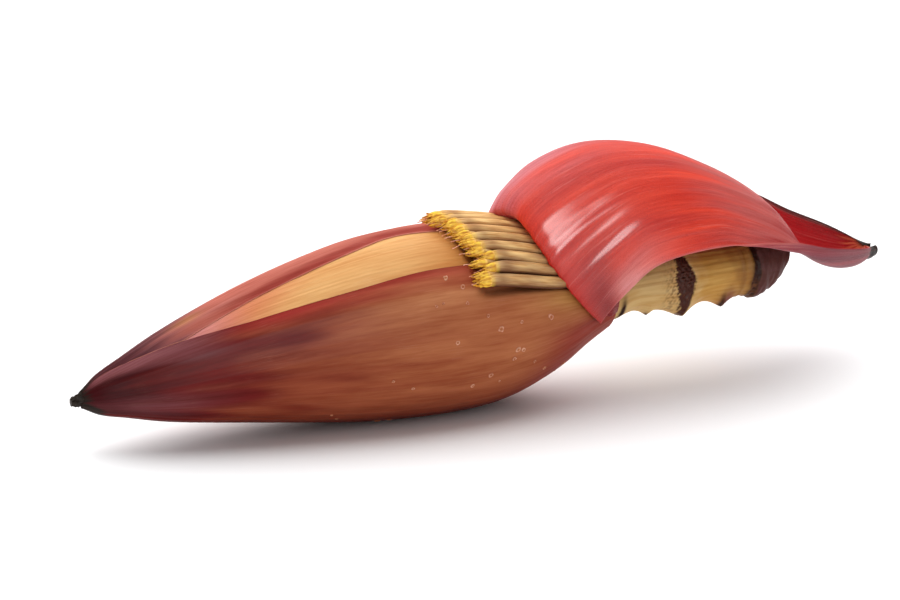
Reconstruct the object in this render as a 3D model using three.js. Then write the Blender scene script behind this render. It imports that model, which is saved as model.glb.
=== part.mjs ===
// A banana blossom lying on its side: a closed bud of wrapped bracts, one hand of florets laid open,
// the bract that covered them turned back like a cuff, and the cut stalk behind.
// Millimetres, +Z up, x along the blossom from the bud's tip (negative) to the stalk (positive).
// x = 0 is the bud's widest ring and y = 0 the upright plane through its axis. The group is moved at
// the end, so that the part's origin is the middle of its footprint.
import * as THREE from "three";
import { mergeVertices } from "three/addons/utils/BufferGeometryUtils.js";

// ---- Driving dimensions ----
const BUD_TIP_X = -157;
const BUD_NECK_X = 68;
const BUD_RADIUS = 38.3;
const TABLE_Z = 0.6; // the belly has settled flat at this height
const WRAP_THICKNESS = 1.6; // a closed bract
const WRAP_EDGE = 0.7; // its thin border
const CLEARANCE = 0.35; // between pieces that lie on each other
const SEAT_DEPTH = 4.6; // how far the bud is pressed in under the florets
const SEAT_HALF_ANGLE = 66; // degrees either side of the top
const FLORETS_ON_TOP = 16;
const FLORET_PITCH = 8; // degrees round the bud
const FLORET_TIP_X = -1.5;
const FLORET_BASE_X = 50;
const FLORET_RADIUS = 2.45;
const FLORET_HEIGHT = 1.1; // the axis of the top row over the bud's surface
const UNDER_FLORET_RADIUS = 1.45;
const UNDER_FLORET_HEIGHT = -2.5;
const UNDER_FLORET_TIP_LIFT = 3.4;
const UNDER_FLORET_REACH = 2; // how far the lower row's tips stand out in front
const CUFF_THICKNESS = 2.2;
const CUFF_RIM = 0.9;
const CUFF_LEAN = 2; // how sharply the borders fall back from the midrib
const CUFF_SKEW = 9; // the fold is furthest forward a little to the near side
const STALK_RADIUS = 11.2;
const STALK_RISE = 1.8; // its axis over the bud's
const STALK_END_X = 151.5;

// ---- Small helpers ----
const rad = THREE.MathUtils.degToRad;
const smooth = THREE.MathUtils.smoothstep;

/** Smooth course through rows of numbers: the first column is the parameter, the rest follow it. */
function course(rows) {
  const last = rows.length - 1;
  const slope = (i, k) => {
    const a = rows[Math.max(i - 1, 0)];
    const b = rows[Math.min(i + 1, last)];
    return (b[k] - a[k]) / (b[0] - a[0]);
  };
  return (s, k = 1) => {
    let i = 0;
    while (i < last - 1 && s > rows[i + 1][0]) i++;
    const step = rows[i + 1][0] - rows[i][0];
    const t = THREE.MathUtils.clamp((s - rows[i][0]) / step, 0, 1);
    const h = (1 + 2 * t) * (1 - t) * (1 - t) * rows[i][k] + t * t * (3 - 2 * t) * rows[i + 1][k];
    return h + step * t * (1 - t) * ((1 - t) * slope(i, k) - t * slope(i + 1, k));
  };
}

/** One closed body from an index list and points, with its faces turned outwards. */
function closedBody(points, faces) {
  const geometry = new THREE.BufferGeometry().setFromPoints(points);
  geometry.setIndex(faces);
  const merged = mergeVertices(geometry, 1e-3);
  const index = merged.index.array;
  const at = (i) => new THREE.Vector3().fromBufferAttribute(merged.attributes.position, i);
  const kept = [];
  let volume = 0;
  for (let i = 0; i < index.length; i += 3) {
    const [a, b, c] = [index[i], index[i + 1], index[i + 2]];
    if (a === b || b === c || c === a) continue;
    kept.push(a, b, c);
    volume += at(a).dot(at(b).cross(at(c)));
  }
  if (volume < 0) kept.reverse();
  merged.setIndex(kept);
  merged.computeVertexNormals();
  return merged;
}

/** A grid of points, rows by columns, from a function of two numbers between 0 and 1. */
function grid(surface, rows, columns) {
  const points = [];
  for (let i = 0; i <= rows; i++) {
    for (let j = 0; j <= columns; j++) points.push(surface(i / rows, j / columns));
  }
  return points;
}

/** A leaf-like solid: an upper and a lower face on one grid, joined all round the border. */
function sheet(upper, lower, rows, columns) {
  const points = [...grid(upper, rows, columns), ...grid(lower, rows, columns)];
  const below = (rows + 1) * (columns + 1);
  const id = (i, j) => i * (columns + 1) + j;
  const faces = [];
  const quad = (a, b, c, d) => faces.push(a, b, c, a, c, d);
  for (let i = 0; i < rows; i++) {
    for (let j = 0; j < columns; j++) {
      const [a, b, c, d] = [id(i, j), id(i + 1, j), id(i + 1, j + 1), id(i, j + 1)];
      quad(a, b, c, d);
      quad(below + d, below + c, below + b, below + a);
    }
  }
  for (let i = 0; i < rows; i++) {
    quad(id(i + 1, 0), id(i, 0), below + id(i, 0), below + id(i + 1, 0));
    quad(id(i, columns), id(i + 1, columns), below + id(i + 1, columns), below + id(i, columns));
  }
  for (let j = 0; j < columns; j++) {
    quad(id(0, j), id(0, j + 1), below + id(0, j + 1), below + id(0, j));
    quad(id(rows, j + 1), id(rows, j), below + id(rows, j), below + id(rows, j + 1));
  }
  return closedBody(points, faces);
}

/** A round solid: rings of points along a length, closed by a point in the middle of each end. */
function rings(surface, rows, columns) {
  const points = [];
  for (let i = 0; i <= rows; i++) {
    for (let j = 0; j < columns; j++) points.push(surface(i / rows, j / columns));
  }
  const faces = [];
  const id = (i, j) => i * columns + (j % columns);
  for (let i = 0; i < rows; i++) {
    for (let j = 0; j < columns; j++) {
      faces.push(id(i, j), id(i + 1, j), id(i + 1, j + 1), id(i, j), id(i + 1, j + 1), id(i, j + 1));
    }
  }
  for (const end of [0, rows]) {
    const middle = new THREE.Vector3();
    for (let j = 0; j < columns; j++) middle.addScaledVector(points[id(end, j)], 1 / columns);
    points.push(middle);
    const m = points.length - 1;
    for (let j = 0; j < columns; j++) {
      if (end === 0) faces.push(m, id(end, j), id(end, j + 1));
      else faces.push(m, id(end, j + 1), id(end, j));
    }
  }
  return closedBody(points, faces);
}

function piece(name, geometry, color, roughness) {
  const material = new THREE.MeshStandardMaterial({ color, roughness, metalness: 0 });
  const mesh = new THREE.Mesh(geometry, material);
  mesh.name = name;
  return mesh;
}

// ---- The bud's form ----
// Height of the axis over the table: it droops a little towards the tip.
const axisHeight = course([
  [BUD_TIP_X, 22],
  [-125, 26.8],
  [-85, 32.4],
  [-43, 36],
  [0, 37.5],
  [30, 38.2],
  [67, 39],
  [114, 40.5],
  [160, 42],
]);
// Radius of the closed bud round that axis.
const budRadius = course([
  [BUD_TIP_X, 0.8],
  [-153, 3.4],
  [-146, 7.2],
  [-136, 11.3],
  [-121, 17.4],
  [-100, 23.5],
  [-80, 28.5],
  [-60, 32.8],
  [-40, 36.3],
  [-20, 38],
  [-4, BUD_RADIUS],
  [8, 37.8],
  [20, 35.8],
  [32, 32.1],
  [44, 27],
  [56, 20.3],
  [BUD_NECK_X, 14.4],
]);

/** How far the surface is pressed in under the hand of florets; angle is from the top, in degrees. */
function seat(x, angle, halfAngle) {
  const along = smooth(x, FLORET_TIP_X - 3, FLORET_TIP_X + 5) * (1 - smooth(x, 46, 62));
  return SEAT_DEPTH * along * (1 - smooth(Math.abs(angle), halfAngle - 8, halfAngle));
}

/** A point of the bud at x, an angle round it (0 top, + towards -y) and a depth under its surface. */
function budPoint(x, angle, depth, floor, seatHalfAngle = SEAT_HALF_ANGLE) {
  const wrapped = THREE.MathUtils.euclideanModulo(angle + 180, 360) - 180;
  const r = Math.max(budRadius(x) - seat(x, wrapped, seatHalfAngle) - depth, 0.1);
  const z = axisHeight(x) + r * Math.cos(rad(angle));
  return new THREE.Vector3(x, -r * Math.sin(rad(angle)), Math.max(z, TABLE_Z + floor));
}

/** Thickness of a closed bract: fleshy along the bud, papery at its tip. */
function wrapThickness(x) {
  return THREE.MathUtils.lerp(0.6, WRAP_THICKNESS, smooth(x, BUD_TIP_X, BUD_TIP_X + 35));
}

// The cross sections that every wrapped layer shares, closer together where the florets' seat begins.
const WRAP_TIP_X = BUD_TIP_X + 4;
const budStations = [];
for (let x = WRAP_TIP_X; x < FLORET_TIP_X - 3; x += 9.3) budStations.push(x);
for (let x = FLORET_TIP_X - 3; x < FLORET_TIP_X + 6; x += 2.7) budStations.push(x);
for (let x = FLORET_TIP_X + 11; x < BUD_NECK_X - 3; x += 7.5) budStations.push(x);
budStations.push(BUD_NECK_X);

// ---- The packed heart of the bud: its outermost bract shows between the two that wrap it ----
const HEART_BASE_X = BUD_NECK_X - 4;

function budHeart() {
  const inner = budStations.filter((x) => x < HEART_BASE_X - 2);
  const stations = [BUD_TIP_X, BUD_TIP_X + 1.5, WRAP_TIP_X - 1.5, WRAP_TIP_X - 0.5, ...inner, HEART_BASE_X];
  const rows = stations.length - 1;
  const surface = (u, v) => {
    const x = stations[Math.round(u * rows)];
    const covered = smooth(x, WRAP_TIP_X - 1.5, WRAP_TIP_X - 0.5);
    const depth = (wrapThickness(x) + CLEARANCE) * covered;
    return budPoint(x, 360 * v, depth, WRAP_THICKNESS + CLEARANCE, SEAT_HALF_ANGLE + 10);
  };
  return rings(surface, rows, 36);
}

// ---- The two closed bracts that wrap it ----
// Upper border of the near bract, as an angle from the top, along x.
const nearBorder = course([
  [WRAP_TIP_X, 8],
  [-141, 12],
  [-131, 22],
  [-116, 33],
  [-97, 40],
  [-72, 44],
  [-44, 45],
  [-16, 42],
  [BUD_NECK_X, 46],
]);
// Border of the far bract: it meets the near one ahead of x = -116 and leaves the heart bare behind.
const farBorder = course([
  [WRAP_TIP_X, 6],
  [-141, 10],
  [-131, 20],
  [-116, 31],
  [-104, 23.5],
  [-90, 20],
  [-66, 15],
  [-39, 7],
  [-16, 6],
  [BUD_NECK_X, 10],
]);
const LOWER_BORDER = 222; // where the near bract ends, under the far side
const BORDER_GAP = 1.2;

/** A bract wrapped round the bud between two borders, given as angles along x. */
function wrap(from, to, columns) {
  const rows = budStations.length - 1;
  const place = (u, v) => {
    const x = budStations[Math.round(u * rows)];
    return [x, THREE.MathUtils.lerp(from(x), to(x), v)];
  };
  const thin = (v) => (WRAP_THICKNESS - WRAP_EDGE) * (1 - Math.sin(Math.PI * v) ** 0.35);
  const upper = (u, v) => {
    const [x, angle] = place(u, v);
    return budPoint(x, angle, thin(v) * wrapThickness(x) / WRAP_THICKNESS, 0);
  };
  const lower = (u, v) => {
    const [x, angle] = place(u, v);
    return budPoint(x, angle, wrapThickness(x), wrapThickness(x) - 0.3);
  };
  return sheet(upper, lower, rows, columns);
}

// ---- The florets ----
/** One floret: a ribbed finger lying along the bud, tip forward, at an angle and height over it. */
function floret(angle, tipX, baseX, height, thickness, tipLift) {
  const width = course([
    [0, 0.5],
    [0.06, 0.85],
    [0.3, 1],
    [0.65, 0.93],
    [1, 0.62],
  ]);
  const surface = (u, v) => {
    const x = THREE.MathUtils.lerp(tipX, baseX, u);
    const across = thickness * width(u);
    const fit = Math.min(1, (budRadius(x) + height) / (BUD_RADIUS - 6));
    const lift = height + tipLift * (1 - u) ** 8;
    const r = budRadius(x) + lift + across * 0.95 * Math.cos(2 * Math.PI * v);
    const turn = rad(angle) + (across * fit * Math.sin(2 * Math.PI * v)) / (budRadius(x) + height);
    return new THREE.Vector3(x, -r * Math.sin(turn), axisHeight(x) + r * Math.cos(turn));
  };
  return rings(surface, 7, 6);
}

// ---- The bract turned back like a cuff ----
// Stations along its midrib: x and z of the midrib, then x, y and z of the border beside it, and
// how much higher than that the far border lies, and the near one lower.
// It starts at the hinge on the neck, rises over the florets to the fold, and runs back as a hood
// that opens into a boat-shaped tip.
const cuffStations = course([
  [0, 66.5, 55.5, 67, 14.5, 34.5, 0],
  [0.06, 57, 64, 63.5, 17, 33.5, 0],
  [0.12, 44, 73.2, 60, 19.6, 32.5, 0],
  [0.18, 30.5, 79.8, 57, 21.3, 32.5, 0],
  [0.215, 24.5, 84, 56.5, 22.2, 33.5, 0],
  [0.25, 27, 89.5, 59, 22.5, 36.5, 0],
  [0.33, 41, 97.5, 65, 28.5, 46.5, 0],
  [0.44, 63, 102.8, 75, 35.5, 55.5, 0],
  [0.56, 90, 99.4, 95, 38, 61, 0],
  [0.68, 118, 87.8, 120, 37, 66.5, 2.5],
  [0.79, 143, 72, 144, 33, 65.5, 5.5],
  [0.85, 156, 60.5, 158, 29, 61, 5.5],
  [0.9, 167, 47.5, 171, 24, 56, 4.5],
  [0.95, 184, 40.5, 185.5, 15, 50, 3],
  [1, 199.5, 42, 198, 2.5, 44, 0],
]);

const FOLD_STATION = 0.215;

/** A point of the cuff: s along the midrib, t from -1 on the near border to 1 on the far one. */
function cuffPoint(s, t) {
  const [x, z, borderX, borderY, borderZ, roll] = [1, 2, 3, 4, 5, 6].map((k) => cuffStations(s, k));
  const drop = z - borderZ;
  const arch = Math.max(2 * Math.atan2(Math.abs(drop), borderY), 0.3);
  const side = Math.abs(t);
  const y = (borderY * Math.sin(arch * side)) / Math.sin(arch);
  const down = (drop * (1 - Math.cos(arch * side))) / (1 - Math.cos(arch));
  const nearFold = Math.exp(-(((s - FOLD_STATION) / 0.1) ** 2));
  const skew = CUFF_SKEW * nearFold * t * (1 - t * t) ** 2;
  const back = (borderX - x) * side ** CUFF_LEAN + skew;
  return new THREE.Vector3(x + back, y * Math.sign(t), z - down + roll * t);
}

function liftedBract() {
  const step = 1e-3;
  const upper = (u, v) => cuffPoint(u, 2 * v - 1);
  const lower = (u, v) => {
    const [s, t] = [u, 2 * v - 1];
    const along = cuffPoint(Math.min(s + step, 1), t).sub(cuffPoint(Math.max(s - step, 0), t));
    const across = cuffPoint(s, Math.min(t + step, 1)).sub(cuffPoint(s, Math.max(t - step, -1)));
    const inward = across.cross(along).normalize();
    const thickness = THREE.MathUtils.lerp(CUFF_THICKNESS, CUFF_RIM, t ** 4);
    return cuffPoint(s, t).addScaledVector(inward, thickness);
  };
  return sheet(upper, lower, 36, 20);
}

// ---- The stalk: scars and blunt spurs where older bracts and florets fell ----
const stalkRadius = course([
  [BUD_NECK_X + CLEARANCE, 12],
  [80, 10.8],
  [98, STALK_RADIUS],
  [116, 10.6],
  [131, 10.8],
  [136, 12.2],
  [140, 12.4],
  [143, 11.4],
  [147, 10.6],
  [STALK_END_X, 8],
]);
// Each scar: x, angle round the stalk, height, half length along x, half width in degrees.
const scars = [
  [73, 118, 1.2, 3, 26],
  [84, 160, 1.4, 2.5, 18],
  [102, 150, 4.2, 4.5, 46],
  [122.5, 165, 3.2, 3.2, 22],
  [100, 20, 1.2, 5, 60],
  [84, -110, 2, 4, 40],
  [112, -95, 2.6, 5, 44],
];

function stalk() {
  const surface = (u, v) => {
    const angle = 360 * v;
    const x = THREE.MathUtils.lerp(BUD_NECK_X + CLEARANCE, STALK_END_X, u);
    let r = stalkRadius(x);
    for (const [at, toward, height, length, width] of scars) {
      const turn = THREE.MathUtils.euclideanModulo(angle - toward + 180, 360) - 180;
      r += height * Math.exp(-(((x - at) / length) ** 2) - (turn / width) ** 2);
    }
    const slant = 4 * smooth(x, 144, STALK_END_X) * Math.cos(rad(angle));
    const z = axisHeight(x) + STALK_RISE * smooth(x, BUD_NECK_X, 82) + r * Math.cos(rad(angle));
    return new THREE.Vector3(x + slant, -r * Math.sin(rad(angle)), z);
  };
  return rings(surface, 40, 24);
}

// ---- The whole blossom ----
const blossom = new THREE.Group();
blossom.add(piece("bud_heart", budHeart(), 0xd9984f, 0.5));
blossom.add(piece("near_bract", wrap(nearBorder, () => LOWER_BORDER, 18), 0x8f3b2a, 0.45));
const farTop = (x) => 360 + Math.min(farBorder(x), nearBorder(x) - BORDER_GAP);
blossom.add(piece("far_bract", wrap(() => LOWER_BORDER + BORDER_GAP, farTop, 16), 0x9a4640, 0.45));
blossom.add(piece("stalk", stalk(), 0xc8b070, 0.6));
blossom.add(piece("lifted_bract", liftedBract(), 0xc9402f, 0.3));

/** A row of florets side by side round the bud, centred on its top. */
function floretRow(prefix, count, color, shape) {
  for (let i = 0; i < count; i++) {
    const angle = (i - (count - 1) / 2) * FLORET_PITCH;
    blossom.add(piece(prefix + String(i + 1).padStart(2, "0"), shape(angle), color, 0.6));
  }
}
floretRow("floret_", FLORETS_ON_TOP, 0xcfae6e, (angle) =>
  floret(angle, FLORET_TIP_X, FLORET_BASE_X, FLORET_HEIGHT, FLORET_RADIUS, 0),
);
const underTip = FLORET_TIP_X - UNDER_FLORET_REACH;
const underBase = FLORET_BASE_X - UNDER_FLORET_REACH;
floretRow("under_floret_", FLORETS_ON_TOP - 1, 0xc79a3c, (angle) =>
  floret(angle, underTip, underBase, UNDER_FLORET_HEIGHT, UNDER_FLORET_RADIUS, UNDER_FLORET_TIP_LIFT),
);

// The origin is the middle of the bounding box, on the table.
const box = new THREE.Box3().setFromObject(blossom);
blossom.position.set(-(box.min.x + box.max.x) / 2, -(box.min.y + box.max.y) / 2, -box.min.z);

export default blossom;
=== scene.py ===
import bpy
import numpy as np
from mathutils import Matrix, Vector


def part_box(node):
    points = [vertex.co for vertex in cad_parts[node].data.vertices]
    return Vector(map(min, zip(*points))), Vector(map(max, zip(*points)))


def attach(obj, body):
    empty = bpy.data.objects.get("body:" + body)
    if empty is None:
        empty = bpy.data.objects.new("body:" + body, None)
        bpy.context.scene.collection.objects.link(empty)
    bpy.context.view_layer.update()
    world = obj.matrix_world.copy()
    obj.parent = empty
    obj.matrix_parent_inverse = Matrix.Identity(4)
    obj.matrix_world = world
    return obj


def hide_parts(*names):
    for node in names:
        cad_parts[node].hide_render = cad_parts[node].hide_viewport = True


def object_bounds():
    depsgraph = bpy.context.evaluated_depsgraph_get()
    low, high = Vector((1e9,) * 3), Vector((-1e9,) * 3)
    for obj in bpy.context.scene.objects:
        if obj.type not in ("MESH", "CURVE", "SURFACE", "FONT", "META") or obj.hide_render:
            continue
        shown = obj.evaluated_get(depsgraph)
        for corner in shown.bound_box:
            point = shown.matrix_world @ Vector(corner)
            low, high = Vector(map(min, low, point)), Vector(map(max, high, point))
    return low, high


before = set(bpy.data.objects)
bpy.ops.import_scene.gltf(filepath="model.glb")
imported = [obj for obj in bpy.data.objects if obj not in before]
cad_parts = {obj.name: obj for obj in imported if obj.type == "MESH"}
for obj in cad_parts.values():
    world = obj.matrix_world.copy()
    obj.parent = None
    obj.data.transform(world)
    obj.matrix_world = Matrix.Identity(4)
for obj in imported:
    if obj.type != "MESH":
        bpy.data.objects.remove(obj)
cad_low, cad_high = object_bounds()

# ---- The studio ----
# A pale tabletop that runs out of sight, one very broad soft light overhead and a little behind, a soft
# box in front that only adds shine, and a camera that looks down on the near side.
FLOOR_SIZE = 8.0
FLOOR_DROP = 0.00005
TABLETOP_WHITE = (0.93, 0.93, 0.935, 1)
TABLETOP_ROUGHNESS = 0.9
TABLETOP_SHINE = 0.1
OVERHEAD_SPREAD = np.radians(100)
OVERHEAD_STRENGTH = 4.1
OVERHEAD_WAY = (0.05, 0.6, 1.0)
OVERHEAD_DISTANCE = 2.0
FRONT_BOX_SIZE = (0.5, 1.0)
FRONT_BOX_POWER = 24.0
FRONT_BOX_AZIMUTH = np.radians(-18)
FRONT_BOX_ELEVATION = np.radians(24)
FRONT_BOX_DISTANCE = 1.3
ROOM_WHITE = (1, 1, 1, 1)
ROOM_STRENGTH = 0.44
CAMERA_AZIMUTH = np.radians(-24)
CAMERA_ELEVATION = np.radians(16)
CAMERA_DISTANCE = 1.0
CAMERA_LENS = 100
CAMERA_CLIP = (0.01, 20)
# Where the camera looks, as shares of the part's length from its middle and of its height.
AIM_ALONG = -0.0602
AIM_UP = 0.4247

cad_size = cad_high - cad_low
camera_aim = Vector((AIM_ALONG * cad_size.x, 0.0, AIM_UP * cad_size.z))


def face(thing, away, distance, aim):
    """Stands a light or camera at a distance from aim in the direction away, looking back at aim."""
    away = Vector(away).normalized()
    thing.location = aim + away * distance
    thing.rotation_euler = away.to_track_quat("Z", "Y").to_euler()
    bpy.context.scene.collection.objects.link(thing)


def direction(azimuth, elevation):
    """Unit vector towards a viewer at an azimuth, 0 in front and positive to the right, and elevation."""
    level = np.cos(elevation)
    return (np.sin(azimuth) * level, -np.cos(azimuth) * level, np.sin(elevation))


floor_corners = np.array([(-1, -1, 0), (1, -1, 0), (1, 1, 0), (-1, 1, 0)]) * FLOOR_SIZE / 2
floor_corners[:, 2] = cad_low.z - FLOOR_DROP
floor_mesh = bpy.data.meshes.new("floor")
floor_mesh.from_pydata(floor_corners, [], [(0, 1, 2, 3)])
floor = bpy.data.objects.new("floor", floor_mesh)
bpy.context.scene.collection.objects.link(floor)

floor_paint = bpy.data.materials.new("white tabletop")
floor_paint.use_nodes = True
floor_shader = floor_paint.node_tree.nodes["Principled BSDF"]
floor_shader.inputs["Base Color"].default_value = TABLETOP_WHITE
floor_shader.inputs["Roughness"].default_value = TABLETOP_ROUGHNESS
floor_shader.inputs["Specular IOR Level"].default_value = TABLETOP_SHINE
floor_mesh.materials.append(floor_paint)

overhead = bpy.data.lights.new("overhead", "SUN")
overhead.angle = OVERHEAD_SPREAD
overhead.energy = OVERHEAD_STRENGTH
overhead_stand = bpy.data.objects.new("overhead", overhead)
overhead_stand.visible_glossy = False
face(overhead_stand, OVERHEAD_WAY, OVERHEAD_DISTANCE, camera_aim)

front_box = bpy.data.lights.new("front_box", "AREA")
front_box.shape = "RECTANGLE"
front_box.size, front_box.size_y = FRONT_BOX_SIZE
front_box.energy = FRONT_BOX_POWER
front_way = direction(FRONT_BOX_AZIMUTH, FRONT_BOX_ELEVATION)
front_stand = bpy.data.objects.new("front_box", front_box)
front_stand.visible_diffuse = False
face(front_stand, front_way, FRONT_BOX_DISTANCE, camera_aim)

world = bpy.data.worlds.new("studio")
bpy.context.scene.world = world
world.use_nodes = True
room = world.node_tree.nodes["Background"]
room.inputs["Color"].default_value = ROOM_WHITE
room.inputs["Strength"].default_value = ROOM_STRENGTH

lens = bpy.data.cameras.new("camera")
lens.lens = CAMERA_LENS
lens.clip_start, lens.clip_end = CAMERA_CLIP
camera = bpy.data.objects.new("camera", lens)
face(camera, direction(CAMERA_AZIMUTH, CAMERA_ELEVATION), CAMERA_DISTANCE, camera_aim)
bpy.context.scene.camera = camera
bpy.context.scene.view_settings.view_transform = "Standard"

# ---- The heart of the bud ----
# The many bracts still packed inside. Only the outermost shows, as a smooth yellow to salmon window
# between the two that wrap it, and the withered brown point that sticks out of them at the tip.
MM = 0.001
BUD_TIP_X = -157.0
BUD_NECK_X = 68.0
HEART_BASE_X = 64.0
TABLE_Z = 0.6
WRAP_TIP_X = -153.0
WRAP_THICKNESS = 1.6
PAPERY_THICKNESS = 0.6
PAPERY_LENGTH = 35
# The band over the top that the hand of florets presses in: how deep, where it starts and ends along x,
# and how far round it goes, with a soft border.
SEAT_DEPTH = 4.6
SEAT_START = (-4.5, 3.5)
SEAT_END = (46, 62)
SEAT_HALF_ANGLE = 66
SEAT_BORDER = 8
LEAST_RADIUS = 0.1
AXIS_HEIGHT = [
    (BUD_TIP_X, 22), (-125, 26.8), (-85, 32.4), (-43, 36), (0, 37.5),
    (30, 38.2), (67, 39), (114, 40.5), (160, 42),
]
BUD_RADIUS = [
    (BUD_TIP_X, 1.5), (-156, 2.3), (-153, 3.4), (-146, 7.9), (-136, 11.8), (-121, 17.4), (-100, 23.5),
    (-80, 28.5), (-60, 32.8), (-40, 36.3), (-20, 38), (-4, 38.3), (8, 37.8), (20, 35.8),
    (32, 32.1), (44, 27), (56, 20.3), (BUD_NECK_X, 14.4),
]
HEART_ROWS = 230
HEART_COLUMNS = 200
# The columns' angles by their share of the way round, so that they crowd in the window.
HEART_SHARES = (0, 0.55, 1)
HEART_ANGLES = (-10, 62, 350)
HEART_CROWDING = 1.2
HEART_CLEARANCE = 0.04
HEART_RIBS = 0.05
CRUMPLE_DEPTH = 0.6
SHARP_ANGLE = np.radians(60)
CHART_MARGIN = 0.02
HEART_PINK = (214, 140, 138)
HEART_YELLOW = (230, 178, 114)
HEART_ORANGE = (222, 138, 98)
HEART_TAN = (214, 152, 84)
HEART_STREAK = (226, 200, 176)
HEART_BLOOM = (245, 220, 180)
HEART_SHINE = 0.12
BRACT_ROUGHNESS = 0.46
WITHERED = (40, 32, 26)

heart_low, heart_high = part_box("bud_heart")
# What turns a point drawn in millimetres, x from the bud's widest ring, into the part's own frame.
drawing_shift = np.array([
    heart_low.x / MM - BUD_TIP_X,
    (heart_low.y + heart_high.y) / 2 / MM,
    cad_low.z / MM - TABLE_Z,
])


def course(knots, at):
    """Smooth curve through knots, rows of a parameter and its values: between two knots a cubic Hermite,
    whose slope at a knot is that of the chord between the knots beside it."""
    knots = np.array(knots, float)
    t, values = knots[:, 0], knots[:, 1:]
    before = np.maximum(np.arange(len(t)) - 1, 0)
    after = np.minimum(np.arange(len(t)) + 1, len(t) - 1)
    slope = (values[after] - values[before]) / (t[after] - t[before])[:, None]
    at = np.asarray(at, float)
    i = np.clip(np.searchsorted(t, at, side="right") - 1, 0, len(t) - 2)
    step = (t[i + 1] - t[i])[..., None]
    w = np.clip((at - t[i]) / (t[i + 1] - t[i]), 0, 1)[..., None]
    line = (1 + 2 * w) * (1 - w) ** 2 * values[i] + w * w * (3 - 2 * w) * values[i + 1]
    curve = line + step * w * (1 - w) * ((1 - w) * slope[i] - w * slope[i + 1])
    return curve[..., 0] if curve.shape[-1] == 1 else curve


def rise(value, low, high):
    """0 below low and 1 above high, with a smooth cubic between them."""
    t = np.clip((value - low) / (high - low), 0, 1)
    return t * t * (3 - 2 * t)


def hump(value, middle, width):
    """A bell of height 1 round middle, down to 1/e at width from it."""
    return np.exp(-(((value - middle) / width) ** 2))


def ripple(points, wavelength, seed, waves=9):
    """Uneven relief between about -1 and 1: a sum of sine waves that run in random directions and have
    lengths near wavelength, in the units of points, whose last axis is the coordinates."""
    dice = np.random.default_rng(seed)
    way = dice.normal(size=(points.shape[-1], waves))
    way *= 2 * np.pi / np.linalg.norm(way, axis=0) / (wavelength * dice.uniform(0.6, 1.7, waves))
    return np.sin(points @ way + dice.uniform(0, 2 * np.pi, waves)).sum(-1) / np.sqrt(waves)


def tone(rgb):
    """A display colour of 0 to 255 a channel as the linear light that a shader takes."""
    share = np.array(rgb, float) / 255
    return np.where(share <= 0.04045, share / 12.92, ((share + 0.055) / 1.055) ** 2.4)


def lay(under, over, cover):
    """A colour over another: under shows where cover is 0, and over where it is 1."""
    return under + (over - under) * np.clip(cover, 0, 1)[..., None]


def apart(angle, middle):
    """Degrees from a middle to an angle, the short way round: between -180 and 180."""
    return (angle - middle + 180) % 360 - 180


def seat(x, angle, half_angle):
    """How far the bud is pressed in under the hand of florets: SEAT_DEPTH, faded out at both ends and
    where the angle from the top nears half_angle."""
    along = rise(x, *SEAT_START) * (1 - rise(x, *SEAT_END))
    return SEAT_DEPTH * along * (1 - rise(np.abs(angle), half_angle - SEAT_BORDER, half_angle))


def bud_point(x, angle, depth, floor=0.0, half_angle=SEAT_HALF_ANGLE):
    """Points of the bud at x, an angle in degrees round its axis, 0 on top and growing towards the near
    side, and a depth under the surface: a circle of BUD_RADIUS about AXIS_HEIGHT, pressed in by the seat
    and never lower than floor over the table."""
    pressed = seat(x, apart(angle, 0), half_angle)
    radius = np.maximum(course(BUD_RADIUS, x) - pressed - depth, LEAST_RADIUS)
    turn = np.radians(angle)
    height = course(AXIS_HEIGHT, x) + radius * np.cos(turn)
    return np.stack([x, -radius * np.sin(turn), np.maximum(height, TABLE_Z + floor)], -1)


def wrap_thickness(x):
    """Thickness of a closed bract: fleshy along the bud and papery at its tip."""
    fleshy = rise(x, BUD_TIP_X, BUD_TIP_X + PAPERY_LENGTH)
    return PAPERY_THICKNESS + (WRAP_THICKNESS - PAPERY_THICKNESS) * fleshy


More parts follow.
